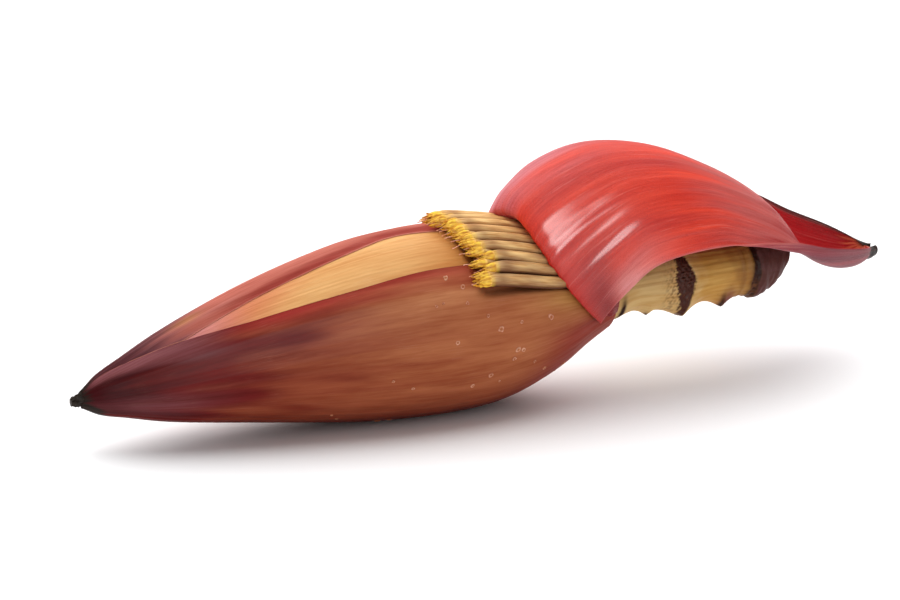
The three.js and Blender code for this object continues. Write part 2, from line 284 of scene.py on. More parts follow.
def grown(name, shells, material, node):
    """One piece from closed shells, each a grid of rings (rows, places round, 3) in drawing millimetres
    with the colour and the fibre coordinates of its points. Quads join each ring to the next, and strips
    from side to side close the first and the last ring, which takes an even number of places round. A
    shell whose volume comes out negative is turned, and a point past the part's box goes back to it."""
    points, faces, corners, skins, fibres = [], [], [], [], []
    start = 0
    for number, (rings, skin, fibre) in enumerate(shells):
        rows, around = rings.shape[:2]
        half = around // 2
        i, j = np.mgrid[0:rows - 1, 0:around]
        here, there = i * around + j, i * around + (j + 1) % around
        sides = np.stack([here, there, there + around, here + around], -1).reshape(-1, 4)
        side_map = np.stack([
            np.stack([i, j], -1), np.stack([i, j + 1], -1),
            np.stack([i + 1, j + 1], -1), np.stack([i + 1, j], -1),
        ], -2).reshape(-1, 4, 2) / (rows - 1, around)
        k = np.arange(1, half - 1)
        strip = np.stack([k, k + 1, around - k - 1, around - k], -1)
        ends = np.concatenate([strip[:, ::-1], strip + (rows - 1) * around])
        end_map = np.stack([ends // around / (rows - 1), ends % around / around], -1)
        corner = np.array([[0, around - 1, 1], [half, half - 1, half + 1]])
        corner = np.concatenate([corner, corner[:, ::-1] + (rows - 1) * around])
        corner_map = np.stack([corner // around / (rows - 1), corner % around / around], -1)
        flat = rings.reshape(-1, 3)
        a, b, c, d = (flat[sides[:, n]] for n in range(4))
        volume = np.einsum("ij,ij->", a, np.cross(b, c)) + np.einsum("ij,ij->", a, np.cross(c, d))
        turn = slice(None, None, -1 if volume < 0 else 1)
        for group, chart in ((sides, side_map), (ends, end_map), (corner, corner_map)):
            faces += (group[:, turn] + start).tolist()
            chart = (chart * (1 - 2 * CHART_MARGIN) + CHART_MARGIN + (0, number)) / (1, len(shells))
            corners.append(chart[:, turn].reshape(-1, 2))
        points.append(flat)
        skins.append(np.broadcast_to(skin, rings.shape).reshape(-1, 3))
        fibres.append(np.broadcast_to(fibre, rings.shape).reshape(-1, 3))
        start += len(flat)
    mesh = bpy.data.meshes.new(name)
    placed = np.clip((np.concatenate(points) + drawing_shift) * MM, cad_low, cad_high)
    mesh.from_pydata(placed, [], faces)
    skins = np.concatenate(skins)
    opaque = np.concatenate([skins, np.ones((len(skins), 1))], 1)
    mesh.attributes.new("skin", "FLOAT_COLOR", "POINT").data.foreach_set("color", opaque.ravel())
    fibres = np.concatenate(fibres)
    mesh.attributes.new("fibre", "FLOAT_VECTOR", "POINT").data.foreach_set("vector", fibres.ravel())
    chart = mesh.uv_layers.new(name="OFBake")
    chart.uv.foreach_set("vector", np.concatenate(corners).ravel())
    mesh.shade_smooth()
    mesh.set_sharp_from_angle(angle=SHARP_ANGLE)
    mesh.materials.append(material)
    piece = bpy.data.objects.new(name, mesh)
    bpy.context.scene.collection.objects.link(piece)
    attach(piece, "root")
    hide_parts(node)


class Wire:
    """A shader socket that Python arithmetic works on: each operator adds its Math node."""

    def __init__(self, finish, socket):
        self.finish, self.socket = finish, socket

    def math(self, operation, first, second):
        return self.finish.node("ShaderNodeMath", {"operation": operation}, {0: first, 1: second})

    def __add__(self, other):
        return self.math("ADD", self, other)

    def __sub__(self, other):
        return self.math("SUBTRACT", self, other)

    def __rsub__(self, other):
        return self.math("SUBTRACT", other, self)

    def __mul__(self, other):
        return self.math("MULTIPLY", self, other)

    __radd__, __rmul__ = __add__, __mul__


class Finish:
    """A material about its Principled shader. node adds any node, and feed sets or links a socket."""

    def __init__(self, name, **constants):
        self.material = bpy.data.materials.new(name)
        self.material.use_nodes = True
        self.tree = self.material.node_tree
        self.shader = self.tree.nodes["Principled BSDF"]
        self.feed(self.shader, {key.replace("_", " "): value for key, value in constants.items()})

    def feed(self, node, sockets):
        for key, value in sockets.items():
            if isinstance(value, Wire):
                self.tree.links.new(value.socket, node.inputs[key])
            else:
                node.inputs[key].default_value = value

    def node(self, kind, settings=None, sockets=None, output=0):
        made = self.tree.nodes.new(kind)
        for key, value in (settings or {}).items():
            setattr(made, key, value)
        self.feed(made, sockets or {})
        return Wire(self, made.outputs[output])

    def attribute(self, name, output):
        """What was painted on the mesh's points under a name."""
        return self.node("ShaderNodeAttribute", {"attribute_name": name}, output=output)

    def noise(self, place, stretch, detail, roughness):
        """Noise from 0 to 1 over place, a vector, each of whose parts is first scaled by stretch."""
        scaled = self.node("ShaderNodeVectorMath", {"operation": "MULTIPLY"}, {0: place, 1: stretch})
        sockets = {"Vector": scaled, "Scale": 1.0, "Detail": detail, "Roughness": roughness}
        return self.node("ShaderNodeTexNoise", sockets=sockets)

    def between(self, value, low, high):
        """0 where value is below low, 1 above high, and smooth between them."""
        sockets = {"Value": value, "From Min": low, "From Max": high}
        return self.node("ShaderNodeMapRange", {"interpolation_type": "SMOOTHSTEP"}, sockets)

    def mix(self, share, first, second, way="MIX"):
        """The first colour where share is 0 and the second where it is 1, laid over it in the given way."""
        settings = {"data_type": "RGBA", "blend_type": way}
        return self.node("ShaderNodeMix", settings, {0: share, 6: first, 7: second}, output=2)

    def relief(self, height, strength, distance):
        """A normal from a height field, distance being what a height of 1 stands for in metres."""
        sockets = {"Height": height, "Strength": strength, "Distance": distance}
        return self.node("ShaderNodeBump", sockets=sockets)


def shade(rgb):
    """A display colour of 0 to 255 a channel as a shader socket's colour."""
    return (*tone(rgb), 1.0)


def bract_finish(name, streak, bloom, roughness, specular):
    """Waxy bract skin: the painted colour, darker along fine fibres and broad soft streaks, with a faint
    grey bloom in patches, and fibres that stand up a little from the surface."""
    finish = Finish(name, Specular_IOR_Level=specular)
    place = finish.attribute("fibre", "Vector")
    broad = finish.noise(place, (0.022, 0.13, 0.0), 4.0, 0.55)
    fine = finish.noise(place, (0.05, 0.75, 0.0), 3.0, 0.6)
    hair = finish.noise(place, (0.1, 2.4, 0.0), 2.0, 0.6)
    cloud = finish.noise(place, (0.05, 0.07, 0.0), 4.0, 0.6)
    lines = finish.between(broad, 0.32, 0.68) * 0.5 + finish.between(fine, 0.3, 0.7) * 0.35 + hair * 0.15
    painted = finish.attribute("skin", "Color")
    dark = finish.mix(1.0, painted, shade(streak), "MULTIPLY")
    fibred = finish.mix(lines, dark, painted)
    powder = finish.between(cloud, 0.45, 0.7) * finish.between(hair, 0.5, 0.68) * 0.14
    finish.feed(finish.shader, {
        "Base Color": finish.mix(powder, fibred, shade(bloom)),
        "Roughness": hair * 0.12 + powder * 0.6 + (roughness - 0.06),
        "Normal": finish.relief(fine * 0.5 + hair * 0.5, 0.2, 0.0003),
    })
    return finish.material


def heart_rings():
    """Rings of the heart from its tip to its base. Columns are closest where the window shows, and the
    surface lies one bract's thickness down, apart from the bare and crumpled tip."""
    share = np.linspace(0, 1, HEART_ROWS) ** HEART_CROWDING
    window = np.interp(np.linspace(0, 1, HEART_COLUMNS, endpoint=False), HEART_SHARES, HEART_ANGLES)
    x, angle = np.meshgrid(BUD_TIP_X + (HEART_BASE_X - BUD_TIP_X) * share, window, indexing="ij")
    covered = rise(x, WRAP_TIP_X - 1.5, WRAP_TIP_X - 0.5)
    turn = np.radians(angle)
    around = np.stack([x / 1.3, 3 * np.cos(turn), 3 * np.sin(turn)], -1)
    crumpled = CRUMPLE_DEPTH * (1 + ripple(around, 1.7, seed=3)) * (1 - covered)
    crumpled = crumpled * rise(x, BUD_TIP_X, BUD_TIP_X + 1)
    along = np.stack([x / 40, angle / 1.5], -1)
    ribs = HEART_RIBS * (1 + ripple(along, 2.0, seed=5)) * covered
    depth = (wrap_thickness(x) + HEART_CLEARANCE) * covered + crumpled + ribs
    rings = bud_point(x, angle, depth, WRAP_THICKNESS, SEAT_HALF_ANGLE + 10)
    skin = lay(tone(HEART_PINK), tone(HEART_ORANGE), rise(x, -112, -84))
    skin = lay(skin, tone(HEART_YELLOW), rise(x + 0.5 * (angle - 25), -95, -60))
    skin = lay(skin, tone(HEART_TAN), rise(x + 0.35 * (angle - 20), -26, 0))
    skin = lay(skin, tone(WITHERED), 1 - rise(x, -152.5, -151))
    fibre = np.stack([x, angle * 0.6, 0 * x], -1)
    return rings, skin, fibre


heart_skin = bract_finish("heart bract", HEART_STREAK, HEART_BLOOM, BRACT_ROUGHNESS, HEART_SHINE)
grown("heart", [heart_rings()], heart_skin, "bud_heart")

# ---- The near bract ----
# The bract that wraps the near side and the belly, from a border beside the window down and round
# under the far side. Thick and waxy, brown red to ochre, with fine fibres that run to the tip.
WRAP_EDGE = 0.5
EDGE_ROUNDING = 0.2
EDGE_TAPER = 5.0
# The columns that crowd at each border, the share of the width they take and the gap to the others.
EDGE_COLUMNS = 8
EDGE_SHARE = 0.03
EDGE_STEP = 0.004
TUCK_WIDTH = 9
BELLY_THINNING = 0.3
WRAP_ROWS = 290
WRAP_CROWDING = 1.12
NEAR_COLUMNS = 140
NEAR_BORDER = [
    (WRAP_TIP_X, 8), (-141, 12), (-131, 21), (-116, 30.5), (-101, 38),
    (-87, 42), (-50, 43.6), (-16, 41), (BUD_NECK_X, 46),
]
LOWER_BORDER = 222
OCHRE = (184, 112, 72)
OCHRE_PAINTED_HIGHLIGHT = (202, 136, 92)
RED_BROWN = (160, 82, 54)
MAROON = (64, 4, 12)
DEEP_RED = (112, 20, 16)
BORDER_RED = (160, 46, 40)
VIOLET_GREY = (130, 74, 80)
BASE_YELLOW = (196, 146, 78)
BASE_PINK = (160, 66, 52)
NEAR_STREAK = (206, 172, 160)
NEAR_BLOOM = (196, 140, 120)
WRAP_SHINE = 0.07


def wrap_stations():
    """Places of the rows along the bud, closest together at its pointed tip."""
    return WRAP_TIP_X + (BUD_NECK_X - WRAP_TIP_X) * np.linspace(0, 1, WRAP_ROWS) ** WRAP_CROWDING


def wrapped(x, start, end, columns, relief, tuck=0.0):
    """Rings of a bract wrapped round the bud between two borders, angles along x: the outer face out and
    the inner face back. The outer face comes down to a thin rounded edge at each border, relief lowers
    it further, and tuck sinks the strip along the first border."""
    near = EDGE_SHARE * (1 - np.cos(np.linspace(0, np.pi / 2, EDGE_COLUMNS + 1)))[:-1]
    first, last = near[-1] + EDGE_STEP, 1 - EDGE_STEP - near[-1]
    middle = np.linspace(first, last, columns + 1 - 2 * EDGE_COLUMNS)
    share = np.concatenate([near, middle, 1 - near[::-1]])
    x, share = np.meshgrid(x, share, indexing="ij")
    ragged = 0.9 * ripple(np.stack([8 * share, 0 * share], -1), 2.5, seed=9)
    x = x + ragged * (1 - rise(x, WRAP_TIP_X + 1, WRAP_TIP_X + 9))
    angle = start(x) + (end(x) - start(x)) * share
    width = np.radians(end(x) - start(x)) * course(BUD_RADIUS, x)
    inward = np.minimum(share, 1 - share) * width
    rounding = np.sqrt(1 - (1 - np.clip(inward / EDGE_ROUNDING, 0, 1)) ** 2)
    thickness = wrap_thickness(x)
    edge = np.minimum(WRAP_EDGE, thickness)
    body = edge + (thickness - edge) * rise(inward, 0, EDGE_TAPER)
    sunk = tuck * (1 - rise(share * width, 0, TUCK_WIDTH))
    depth = thickness - body * rounding + (relief(x, angle) + sunk) * rounding
    outer = bud_point(x, angle, np.minimum(depth, thickness - 0.02 * rounding))
    inner = bud_point(x, angle, thickness, thickness - BELLY_THINNING)
    loop = np.concatenate([outer, inner[:, -2:0:-1]], 1)
    return loop, np.concatenate([x, x[:, -2:0:-1]], 1), np.concatenate([angle, angle[:, -2:0:-1]], 1)


def fibres_of(x, angle):
    """Low ridges along the bract that gather towards its tip, and a slower swell across it."""
    along = np.stack([x / 55, angle / 1.0], -1)
    return 0.045 * (1 + ripple(along, 3.0, seed=11)) + 0.09 * (1 + ripple(along, 11.0, seed=12))


def near_border(x):
    """The angle of the border beside the window, along x."""
    return course(NEAR_BORDER, x)


near_loop, x, angle = wrapped(
    wrap_stations(), near_border, lambda x: LOWER_BORDER + 0 * x, NEAR_COLUMNS, fibres_of
)
mottle = ripple(np.stack([x / 38, angle / 22], -1), 1.0, seed=21)
bands = ripple(np.stack([x / 160, angle / 9], -1), 1.0, seed=22)
skin = lay(tone(RED_BROWN), tone(OCHRE), rise(x + 8 * bands, -80, 5) * (1 - rise(angle, 100, 150)))
skin = lay(skin, tone(DEEP_RED), (1 - rise(x + 14 * mottle + 0.25 * (angle - 90), -108, -54)))
skin = lay(skin, tone(MAROON), (1 - rise(x + 9 * mottle, -142, -106)) * 0.95)
skin = lay(skin, tone(VIOLET_GREY), hump(x, -126, 22) * hump(angle, 112, 17) * 0.7)
skin = lay(skin, tone(DEEP_RED), rise(angle + 5 * bands, 130, 160) * 0.8)
skin = lay(skin, tone(BASE_PINK), rise(x + 0.2 * (angle - 120), 14, 44) * rise(angle, 86, 104))
# A painted highlight: a lighter ochre band along the near bract's upper side, where the light falls.
skin = lay(skin, tone(OCHRE_PAINTED_HIGHLIGHT), hump(angle, 60, 14) * rise(x, -64, -16) * 0.85)
skin = lay(skin, tone(BASE_YELLOW), hump(x, 46, 20) * hump(angle, 70, 12) * 0.9)
border_distance = angle - near_border(x)
reddened = (1 - rise(border_distance + 2 * bands, 2, 20)) * rise(x, -112, -76)
skin = lay(skin, tone(BORDER_RED), reddened * (0.75 + 0.25 * mottle))
greyed = (1 - rise(border_distance + 3 * mottle, 16, 34)) * rise(x, -154, -146) * (1 - rise(x, -118, -92))
skin = lay(skin, tone(VIOLET_GREY), greyed)
skin = lay(skin, tone(DEEP_RED), (1 - rise(border_distance, 0.2, 1.2)) * rise(x, -120, -100) * 0.5)
skin = lay(skin, tone(WITHERED), 1 - rise(x - 7 * rise(angle, 90, 150) + mottle, -153, -149))
fibre = np.stack([x, angle * 0.6, 0 * x], -1)
near_skin = bract_finish("near bract", NEAR_STREAK, NEAR_BLOOM, BRACT_ROUGHNESS, WRAP_SHINE)
near_shells = [(near_loop, skin, fibre)]
# Each pore: its x, its angle round the bud and its radius. The rest are scattered over the belly, within
# the ranges below.
PORES = [
    (-14.7, 49, 0.8), (-8.7, 56, 0.9), (-8.2, 66, 0.6), (-21, 65, 0.5), (-18, 64, 0.4), (-0.3, 75, 0.6),
    (-13.7, 88, 0.8), (14.4, 82, 0.6), (4.9, 84, 1.1), (28.9, 83, 1.1), (22, 112, 0.6),
]
SCATTERED_PORES = 26
SCATTER_RANGES = [(-60, 45), (98, 205), (0.4, 1.0)]
# Each ring of a pore: its number, its radius as a share of the pore's, and its height in millimetres.
PORE_STEPS = [
    (0, 0.1, 0.02), (1, 0.35, 0.02), (2, 0.6, 0.1), (3, 0.82, 0.16), (4, 1.05, 0.07), (5, 1.3, -0.2),
]
PORE_COLUMNS = 18
PORE_PALE = (246, 200, 172)
# How far over the table the skin has to be for a pore to stand on it.
PORE_CLEARANCE = 0.5
scatter = np.random.default_rng(71)
PORES += [[scatter.uniform(*span) for span in SCATTER_RANGES] for _ in range(SCATTERED_PORES)]


def pore(at, toward, size, seed):
    """A corky breathing pore: rings about its middle whose radius and height follow PORE_STEPS, uneven
    round the ring, so that a low crater stands on the skin."""
    v = np.linspace(0, 2 * np.pi, PORE_COLUMNS, endpoint=False)
    steps = course(PORE_STEPS, np.arange(len(PORE_STEPS)))
    wobble = 1 + 0.16 * ripple(np.stack([np.cos(v), np.sin(v)], -1), 1.6, seed)
    radius = size * steps[:, :1] * wobble
    x = at + radius * np.cos(v)
    angle = toward + np.degrees(radius * np.sin(v) / course(BUD_RADIUS, x))
    rings = bud_point(x, angle, -steps[:, 1:] * (0.6 + 0.5 * wobble))
    crest = hump(steps[:, :1], 0.85, 0.25) * (0.6 + 1.5 * (wobble - 1))
    return rings, lay(tone(OCHRE), tone(PORE_PALE), crest), np.stack([x, angle * 0.6, 0 * x], -1)


pore_x, pore_angle, _ = np.array(PORES).T
clear = bud_point(pore_x, pore_angle, 0)[:, 2] + drawing_shift[2] > PORE_CLEARANCE
near_shells += [pore(*place, number) for number, place in enumerate(PORES) if clear[number]]
grown("near_wrap", near_shells, near_skin, "near_bract")

# ---- The far bract ----
# Its twin round the far side: its lower border is tucked under the near one's, and its upper one
# lies along the window and crosses over the heart towards the tip. Redder, from being in the light.
FAR_BORDER = [
    (WRAP_TIP_X, 8), (-141, 12), (-131, 21), (-117, 30.5), (-105, 25.8),
    (-84, 18.5), (-64, 14), (-43, 8.8), (-24, 1.8), (-8, 5), (BUD_NECK_X, 10),
]
BORDER_GAP = 0.25
FAR_SUNK = 0.3
FAR_COLUMNS = 120
ROSE_RED = (194, 110, 94)
TIP_VIOLET = (124, 76, 84)
EDGE_PINK = (226, 150, 130)
SUN_PATCH = (190, 140, 78)
FAR_STREAK = (206, 170, 160)
FAR_BLOOM = (214, 160, 146)


def far_border(x):
    """The angle of the border beside the window, along x, never past the near bract's border."""
    return 360 + np.minimum(course(FAR_BORDER, x), near_border(x) - BORDER_GAP)


far_loop, x, angle = wrapped(
    wrap_stations(), lambda x: LOWER_BORDER + BORDER_GAP + 0 * x, far_border, FAR_COLUMNS, fibres_of, FAR_SUNK
)
mottle = ripple(np.stack([x / 38, angle / 22], -1), 1.0, seed=31)
bands = ripple(np.stack([x / 160, angle / 9], -1), 1.0, seed=32)
skin = lay(tone(ROSE_RED), tone(RED_BROWN), 1 - rise(angle + 8 * bands, 285, 345))
skin = lay(skin, tone(TIP_VIOLET), 1 - rise(x + 10 * mottle, -134, -92))
skin = lay(skin, tone(MAROON), (1 - rise(x + 9 * mottle, -144, -104)) * 0.8)
skin = lay(skin, tone(BORDER_RED), rise(angle - far_border(x), -12, -3) * rise(x, -110, -80) * 0.7)
skin = lay(skin, tone(SUN_PATCH), hump(x, -111, 6) * hump(angle, 362, 8) * 0.6)
skin = lay(skin, tone(DEEP_RED), (1 - rise(angle, 232, 262)) * 0.7)
skin = lay(skin, tone(EDGE_PINK), rise(angle - far_border(x), -1.0, -0.3) * 0.8)
skin = lay(skin, tone(WITHERED), 1 - rise(x + 2 * mottle, -152, -147))
fibre = np.stack([x, angle * 0.6, 0 * x], -1)
far_skin = bract_finish("far bract", FAR_STREAK, FAR_BLOOM, BRACT_ROUGHNESS, WRAP_SHINE)
grown("far_wrap", [(far_loop, skin, fibre)], far_skin, "far_bract")

# ---- The florets ----
# One hand of young bananas in two rows, laid over the bud's top. Each is a smooth tan finger with soft
# edges, and ends in a bright yellow flower: a folded tube, limp lobes at its mouth and a pink style.
FLORETS_ON_TOP = 16
FLORET_PITCH = 8
FLORET_GATHER = 0.07
# Where the fingers end and their flowers start, by the angle round the bud, in the top and the under row.
FLORET_ENDS = [(-60, 7), (-40, 5), (-20, 0), (0, -3.6), (18, 0), (34, 3), (46, 6.4), (60, 2.6)]
UNDER_FLORET_ENDS = [(-60, 7), (-40, 6), (-20, 4), (0, 1), (30, 1), (46, 3), (60, 0.4)]
FLORET_BASE_X = 50.0
FLORET_RADIUS = 2.5
FLORET_HEIGHT = 1.1
FLORET_LIFT = 0.9
FLORET_SEED = 100
UNDER_FLORET_BASE_X = 48.0
UNDER_FLORET_RADIUS = 1.45
UNDER_FLORET_HEIGHT = -2.5
UNDER_FLORET_LIFT = 4.5
UNDER_FLORET_SEED = 200
# The bud's radius, with the fingers' height, at which they have their full width side by side.
FLORET_FIT_RADIUS = 32.3
FLORET_WIDTH = [(0, 0.86), (0.05, 0.96), (0.16, 1.0), (0.4, 1), (0.7, 0.93), (1, 0.62)]
FINGER_SOFT_EDGE = 0.045
FINGER_BEND = 0.45
FLOWER_LENGTH = 6.6
FLOWER_SHARE = 0.95
LEAST_FLOWER_RADIUS = 1.85
FLOWER_WIDTH = [(0, 0.84), (0.2, 0.94), (0.5, 0.94), (0.8, 0.74), (1, 0.45)]
LOBES = 7
# Rings and places round of each shell.
FINGER_GRID = (50, 28)
TUBE_GRID = (22, 26)
LOBE_GRID = (11, 10)
STYLE_GRID = (12, 6)
FLORET_CREAM = (246, 206, 138)
FLORET_TAN = (206, 154, 92)
FLORET_SHADE_GREY = (150, 112, 84)
FLORET_BROWN_AND_SHADE = (122, 78, 46)
FLORET_GAP_SHADE = (84, 40, 20)
FLOWER_YELLOW = (255, 212, 70)
FLOWER_DEEP_AND_SHADE = (208, 138, 26)
STYLE_PINK = (240, 176, 146)
FLORET_STREAK = (222, 196, 170)
FLORET_FLECK = (140, 92, 56)


def over_bud(x, angle, height):
    """Points at a height over the closed bud, at x and an angle in degrees round its axis."""
    turn = np.radians(angle)
    radius = course(BUD_RADIUS, x) + height
    return np.stack([x, -radius * np.sin(turn), course(AXIS_HEIGHT, x) + radius * np.cos(turn)], -1)


def unrolled(rings, places):
    """A shell's grid: u from 0 on the first ring to 1 on the last, and the turn round it in radians."""
    round_share = np.linspace(0, 1, places, endpoint=False)
    return np.meshgrid(np.linspace(0, 1, rings), 2 * np.pi * round_share, indexing="ij")


def floret_shell(angle, x, height, aside, up, skin):
    """Rings about a line that runs over the bud at an angle and a height: aside is how far a point lies
    round the bud from that line, and up how far over it."""
    centre = course(BUD_RADIUS, x) + height
    rings = over_bud(x, angle + np.degrees(aside / centre), height + up)
    return rings, skin, np.stack([x, aside + 3 * np.mean(angle), up], -1)


def finger(angle, end_x, base_x, height, radius, lift, dice):
    """The body: rings along the bud whose radius follows FLORET_WIDTH, with four soft edges and a bend."""
    u, turn = unrolled(*FINGER_GRID)
    phase, bend = dice.uniform(0, 1), dice.uniform(-FINGER_BEND, FINGER_BEND)
    x = end_x + (base_x - end_x) * u
    angle = angle * (1 - FLORET_GATHER * (1 - rise(u, 0, 0.7)))
    edges = FINGER_SOFT_EDGE * np.cos(4 * turn + 5 * phase + 0.6 * u)
    around = np.stack([x / 9, 1.2 * np.cos(turn), 1.2 * np.sin(turn)], -1)
    dents = ripple(around, 1.4, int(dice.integers(1000)))
    across = radius * course(FLORET_WIDTH, u) * (1 + edges + 0.02 * dents)
    fit = np.minimum(1, (course(BUD_RADIUS, x) + height) / FLORET_FIT_RADIUS)
    level = height + lift * (1 - rise(u, 0, 0.3))
    # Painted shade: fingers lower round the bud are greyer, each finger's near flank and underside browner,
    # and its near edge dark where the gap to the next finger lies. The brown band near the flower is the
    # finger's own colour.
    shaded = np.clip(0.02 + 0.62 * rise(np.abs(angle), 10, 62) + dice.uniform(-0.08, 0.12), 0, 1)
    skin = lay(tone(FLORET_CREAM), tone(FLORET_TAN), 0.3 + 0.22 * dents + 0.2 * dice.uniform(-1, 1))
    skin = lay(skin, tone(FLORET_SHADE_GREY), shaded * (0.7 + 0.3 * dents))
    skin = lay(skin, tone(FLORET_BROWN_AND_SHADE), rise(np.sin(turn), 0.35, 1) * (0.4 + 0.4 * shaded))
    skin = lay(skin, tone(FLORET_BROWN_AND_SHADE), rise(-np.cos(turn), 0.1, 0.7) * 0.8)
    skin = lay(skin, tone(FLORET_GAP_SHADE), rise(np.sin(turn), 0.74, 1) * (0.6 + 0.4 * shaded))
    skin = lay(skin, tone(FLORET_BROWN_AND_SHADE), hump(u, 0.1, 0.05) * 0.35)
    skin = lay(skin, tone(FLOWER_YELLOW), (1 - rise(u, 0, 0.045)) * 0.55)
    aside = across * fit * np.sin(turn) + bend * np.sin(np.pi * u)
    return floret_shell(angle, x, level, aside, 0.95 * across * np.cos(turn), skin)


def flower_tube(angle, end_x, height, radius, droop, dice):
    """The closed part of the flower, from inside the finger's end to its mouth: its radius follows
    FLOWER_WIDTH and folds between its petals, deeper towards the mouth."""
    u, turn = unrolled(*TUBE_GRID)
    phase, twist = dice.uniform(0, 6), dice.uniform(-0.8, 0.8)
    fold = np.abs(np.cos(2.5 * (turn + twist * u) + phase))
    ruffle = ripple(np.stack([2 * u, np.cos(turn), np.sin(turn)], -1), 0.7, int(dice.integers(1000)))
    across = radius * course(FLOWER_WIDTH, u) * (1 - (0.05 + 0.26 * u) * (1 - fold) + 0.05 * ruffle * u)
    x = end_x + 0.4 - FLOWER_LENGTH * 0.72 * u
    # Painted shade: a deeper yellow in the folds between the petals.
    skin = lay(tone(FLOWER_YELLOW), tone(FLOWER_DEEP_AND_SHADE), 1 - rise(fold, 0.1, 0.7) + 0.25 * ruffle)
    skin = lay(skin, tone(FLORET_CREAM), (1 - rise(u, 0.04, 0.3)) * 0.5)
    up = across * np.cos(turn) - droop * u * u
    return floret_shell(angle, x, height, across * np.sin(turn), up, skin)


def lobe(angle, end_x, height, radius, turn, droop, dice):
    """One limp lobe at the flower's mouth: a flat tube on from the tube's wall at turn round it, which
    closes in or bends out, narrows to a blunt end and is crumpled."""
    u, around = unrolled(*LOBE_GRID)
    reach = FLOWER_LENGTH * dice.uniform(0.4, 0.78)
    spread = radius * (0.6 + dice.uniform(-0.15, 0.34) * np.sin(1.8 * u) - dice.uniform(0.1, 0.6) * u * u)
    twist = turn + dice.uniform(-1.0, 1.0) * u
    width = radius * 0.3 * np.sin(np.pi * np.clip(0.24 + 0.72 * u, 0, 1)) ** 0.7 * dice.uniform(0.8, 1.1)
    x = end_x - FLOWER_LENGTH * 0.34 - reach * u + 0.2 * width * np.cos(around)
    out = spread + width * 0.42 * np.cos(around)
    side = width * np.sin(around)
    crumple = ripple(np.stack([x, out, side], -1), 1.5, int(dice.integers(1000)))
    out = out + 0.14 * crumple
    side = side + 0.1 * crumple
    # A deeper yellow over the lobe and towards its end, and, as painted shade, in its dents.
    skin = lay(tone(FLOWER_YELLOW), tone(FLOWER_DEEP_AND_SHADE), 0.3 - 0.35 * crumple + 0.3 * u)
    aside = out * np.sin(twist) + side * np.cos(twist)
    up = out * np.cos(twist) - side * np.sin(twist) - droop * (0.7 + 0.4 * u)
    return floret_shell(angle, x, height, aside, up, skin)


def style(angle, end_x, height, radius, droop, dice):
    """The thread in the flower's mouth: a thin tapering tube on a curve that droops and turns aside."""
    u, around = unrolled(*STYLE_GRID)
    sway = dice.uniform(-1.8, 1.8)
    thin = 0.2 - 0.08 * u + 0.12 * hump(u, 1, 0.12)
    x = end_x - FLOWER_LENGTH * (0.7 + dice.uniform(0.3, 0.8) * u)
    aside = sway * u * np.sin(2.2 * u) + thin * np.sin(around)
    up = radius * 0.1 - droop - 0.7 * u * u + thin * np.cos(around)
    return floret_shell(angle, x, height, aside, up, tone(STYLE_PINK) + 0 * x[..., None])


def floret_finish():
    """Dry smooth skin on the fingers with faint lines along them, brown flecks, and satin flowers."""
    finish = Finish("floret", Specular_IOR_Level=0.22)
    place = finish.attribute("fibre", "Vector")
    fine = finish.noise(place, (0.1, 1.1, 1.1), 3.0, 0.55)
    fleck = finish.noise(place, (0.5, 0.9, 0.9), 4.0, 0.65)
    painted = finish.attribute("skin", "Color")
    browned = finish.mix(1.0, painted, shade(FLORET_STREAK), "MULTIPLY")
    lined = finish.mix(finish.between(fine, 0.3, 0.65), browned, painted)
    specks = finish.between(fleck, 0.64, 0.76) * 0.22
    finish.feed(finish.shader, {
        "Base Color": finish.mix(specks, lined, shade(FLORET_FLECK)),
        "Roughness": fine * 0.2 + 0.45,
        "Normal": finish.relief(fine, 0.12, 0.0003),
    })
    return finish.material


floret_skin = floret_finish()


def floret_row(name, node, count, ends, base_x, height, radius, lift, seed):
    """One row of florets side by side round the bud, each a little different, every one its own piece.
    The flowers lie on the closed bracts, gathered a little towards the top."""
    for number in range(1, count + 1):
        dice = np.random.default_rng(seed + number)
        angle = (number - (count + 1) / 2) * FLORET_PITCH
        end = course(ends, angle) + dice.uniform(-0.7, 0.7)
        gathered = angle * (1 - FLORET_GATHER)
        droop = dice.uniform(0.1, 0.6)
        bloom = max(radius * FLOWER_SHARE, LEAST_FLOWER_RADIUS)
        flower_height = height + lift
        turns = 2 * np.pi * (np.arange(LOBES) + dice.uniform(0, 1)) / LOBES
        shells = [finger(angle, end, base_x, height, radius, lift, dice)]
        shells.append(flower_tube(gathered, end, flower_height, bloom, droop, dice))
        shells += [lobe(gathered, end, flower_height, bloom, turn, droop, dice) for turn in turns]
        shells.append(style(gathered, end, flower_height, bloom, droop, dice))
        grown(f"{name}_{number:02d}", shells, floret_skin, f"{node}_{number:02d}")


floret_row(
    "floret_top", "floret", FLORETS_ON_TOP,
    FLORET_ENDS, FLORET_BASE_X, FLORET_HEIGHT, FLORET_RADIUS, FLORET_LIFT, FLORET_SEED,
)
floret_row(
    "floret_low", "under_floret", FLORETS_ON_TOP - 1,
    UNDER_FLORET_ENDS, UNDER_FLORET_BASE_X,
    UNDER_FLORET_HEIGHT, UNDER_FLORET_RADIUS, UNDER_FLORET_LIFT, UNDER_FLORET_SEED,
)

# ---- The stalk ----
# The cut stem behind the bud: pale, crisp and slightly ribbed, with brown corky scars and blunt spurs
# where older bracts and hands fell off, a collar, and a shrunken purple brown end.
STALK_START_X = 68.35
STALK_END_X = 151.5
STALK_RISE = 1.8
STALK_RADIUS = [
    (STALK_START_X, 12), (80, 10.8), (98, 11.2), (116, 10.6), (131, 10.8), (136, 12.2),
    (140, 12.4), (143, 11.4), (147, 10.6), (STALK_END_X, 8),
]
